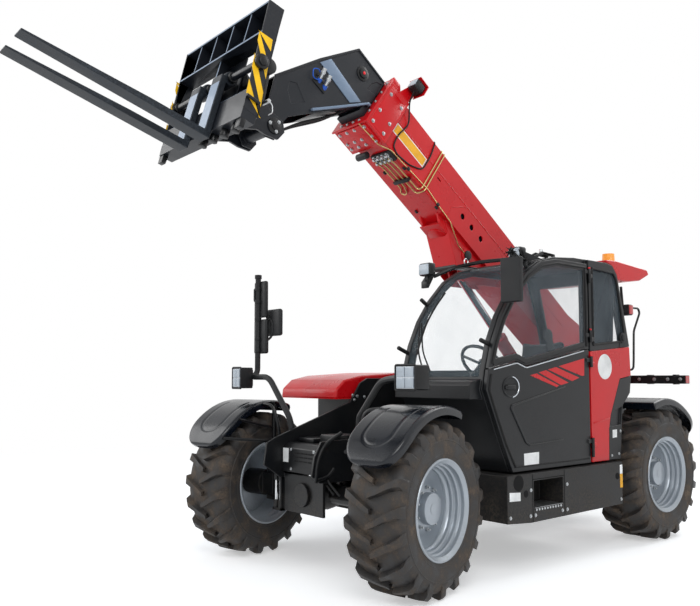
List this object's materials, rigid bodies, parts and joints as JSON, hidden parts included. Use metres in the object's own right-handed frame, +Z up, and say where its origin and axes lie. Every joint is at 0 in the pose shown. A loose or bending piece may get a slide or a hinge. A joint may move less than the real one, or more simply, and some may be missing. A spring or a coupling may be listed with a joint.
{
  "type": "telehandler",
  "caption": "Telescopic handler on steered wheels, with a side cab, a raised two-stage boom and a fork carriage.",
  "frame": {"origin": "middle of the machine's box, on the ground under the tyres", "axes": "+Z up; -Y is the way the machine drives forward; +X is its left side, where the door is"},
  "size_m": [2.5018, 6.2164, 4.035],
  "materials": {
    "red_paint": "gloss",
    "black_paint": "satin",
    "charcoal_paint": "satin",
    "gloss_black": "gloss",
    "fender_plastic": "gloss",
    "rim_paint": "satin",
    "tyre": "matt, dusty",
    "chrome": "polished",
    "glass": "clear",
    "engine": "matt",
    "seat_fabric": "woven",
    "plastic_black": "matt",
    "amber": "gloss",
    "fork_steel": "worn"
  },
  "bodies": {
    "chassis": {"chassis_frame": "black_paint", "boom_tower": "red_paint", "counterweight": "black_paint", "rear_beam": "black_paint", "front_axle": "black_paint", "rear_axle": "black_paint", "engine_pod": "charcoal_paint", "engine_block": "engine", "front_cover": "black_paint", "side_tank": "black_paint", "cab_frame": "charcoal_paint", "cab_side_panel": "red_paint", "glass_front": "glass", "glass_rear": "glass", "glass_right": "glass", "glass_quarter": "glass", "console": "plastic_black", "steering_wheel": "plastic_black", "seat_base": "plastic_black", "seat_cushion": "seat_fabric", "seat_back": "seat_fabric", "roof_visor": "red_paint", "beacon": "amber", "mirror_left": "black_paint", "lamp_left": "black_paint", "lamp_mirror_right": "black_paint"},
    "boom_outer": {"boom_outer": "red_paint"},
    "boom_inner": {"boom_inner": "black_paint"},
    "carriage": {"carriage": "black_paint", "fork_left": "fork_steel", "fork_right": "fork_steel"},
    "lift_barrel": {"lift_barrel": "red_paint"},
    "lift_rod": {"lift_rod": "chrome"},
    "tilt_barrel": {"tilt_barrel": "red_paint"},
    "tilt_rod": {"tilt_rod": "chrome"},
    "door_lower": {"door_lower": "charcoal_paint"},
    "door_upper": {"door_upper": "charcoal_paint", "door_glass": "glass"},
    "hood": {"hood": "red_paint"},
    "knuckle_fl": {"knuckle_fl": "black_paint", "fender_fl": "fender_plastic"},
    "wheel_fl": {"rim_fl": "rim_paint", "tyre_fl": "tyre"},
    "knuckle_fr": {"knuckle_fr": "black_paint", "fender_fr": "fender_plastic"},
    "wheel_fr": {"rim_fr": "rim_paint", "tyre_fr": "tyre"},
    "knuckle_rl": {"knuckle_rl": "black_paint", "fender_rl": "fender_plastic"},
    "wheel_rl": {"rim_rl": "rim_paint", "tyre_rl": "tyre"},
    "knuckle_rr": {"knuckle_rr": "black_paint", "fender_rr": "fender_plastic"},
    "wheel_rr": {"rim_rr": "rim_paint", "tyre_rr": "tyre"}
  },
  "joints": [
    {"name": "boom_lift", "type": "hinge", "parent": "chassis", "child": "boom_outer", "pos_m": [-0.01445, 2.75823, 1.84], "axis": [-1, 0, 0], "range_deg": [-35.9, 29.4]},
    {"name": "boom_telescope", "type": "slide", "parent": "boom_outer", "child": "boom_inner", "axis": [0, -0.8131, 0.5821], "range_m": [0, 2.6]},
    {"name": "carriage_tilt", "type": "hinge", "parent": "boom_inner", "child": "carriage", "pos_m": [-0.01445, -1.36427, 3.22458], "axis": [1, 0, 0], "range_deg": [-34.9, 79]},
    {"name": "lift_barrel_swing", "type": "hinge", "parent": "chassis", "child": "lift_barrel", "pos_m": [-0.01445, 2.35823, 0.85], "axis": [-1, 0, 0], "range_deg": [-30.2, 24.8]},
    {"name": "lift_rod_slide", "type": "slide", "parent": "lift_barrel", "child": "lift_rod", "axis": [0, -0.7193, 0.6947], "range_m": [-0.64, 0.525]},
    {"name": "tilt_barrel_swing", "type": "hinge", "parent": "boom_inner", "child": "tilt_barrel", "pos_m": [-0.01445, -0.50357, 3.65376], "axis": [1, 0, 0], "range_deg": [-2, 3]},
    {"name": "tilt_rod_slide", "type": "slide", "parent": "tilt_barrel", "child": "tilt_rod", "axis": [0, -0.9587, -0.2843], "range_m": [-0.095, 0.21]},
    {"name": "door_lower_hinge", "type": "hinge", "parent": "chassis", "child": "door_lower", "pos_m": [1.05555, 1.19823, 1.6], "axis": [0, 0, 1], "range_deg": [0, 95]},
    {"name": "door_upper_hinge", "type": "hinge", "parent": "chassis", "child": "door_upper", "pos_m": [1.05555, 1.19823, 2.1], "axis": [0, 0, 1], "range_deg": [0, 170]},
    {"name": "hood_hinge", "type": "hinge", "parent": "chassis", "child": "hood", "pos_m": [-0.68445, 1.57823, 1.298], "axis": [-1, 0, 0], "range_deg": [0, 55]},
    {"name": "steer_fl", "type": "hinge", "parent": "chassis", "child": "knuckle_fl", "pos_m": [0.66555, -0.74177, 0.58], "axis": [0, 0, 1], "range_deg": [-47.1, 22.9]},
    {"name": "spin_fl", "type": "hinge", "parent": "knuckle_fl", "child": "wheel_fl", "pos_m": [0.91048, -0.68926, 0.58], "axis": [0.9778, 0.2096, 0], "continuous": true},
    {"name": "steer_fr", "type": "hinge", "parent": "chassis", "child": "knuckle_fr", "pos_m": [-0.69445, -0.74177, 0.58], "axis": [0, 0, 1], "range_deg": [-47.1, 22.9]},
    {"name": "spin_fr", "type": "hinge", "parent": "knuckle_fr", "child": "wheel_fr", "pos_m": [-0.93939, -0.79428, 0.58], "axis": [0.9778, 0.2096, 0], "continuous": true},
    {"name": "steer_rl", "type": "hinge", "parent": "chassis", "child": "knuckle_rl", "pos_m": [0.66555, 2.28423, 0.58], "axis": [0, 0, 1], "range_deg": [-35, 35]},
    {"name": "spin_rl", "type": "hinge", "parent": "knuckle_rl", "child": "wheel_rl", "pos_m": [0.91605, 2.28423, 0.58], "axis": [1, 0, 0], "continuous": true},
    {"name": "steer_rr", "type": "hinge", "parent": "chassis", "child": "knuckle_rr", "pos_m": [-0.69445, 2.28423, 0.58], "axis": [0, 0, 1], "range_deg": [-35, 35]},
    {"name": "spin_rr", "type": "hinge", "parent": "knuckle_rr", "child": "wheel_rr", "pos_m": [-0.94495, 2.28423, 0.58], "axis": [1, 0, 0], "continuous": true}
  ],
  "couplings": [
    {"joint": "lift_barrel_swing", "follows": "boom_lift", "ratio": 0.83},
    {"joint": "lift_rod_slide", "follows": "boom_lift", "m_per_rad": 1.0125},
    {"joint": "tilt_barrel_swing", "follows": "carriage_tilt", "ratio": 0.01},
    {"joint": "tilt_rod_slide", "follows": "carriage_tilt", "m_per_rad": 0.15},
    {"joint": "steer_fr", "follows": "steer_fl", "ratio": 1},
    {"joint": "steer_rr", "follows": "steer_rl", "ratio": 1}
  ]
}
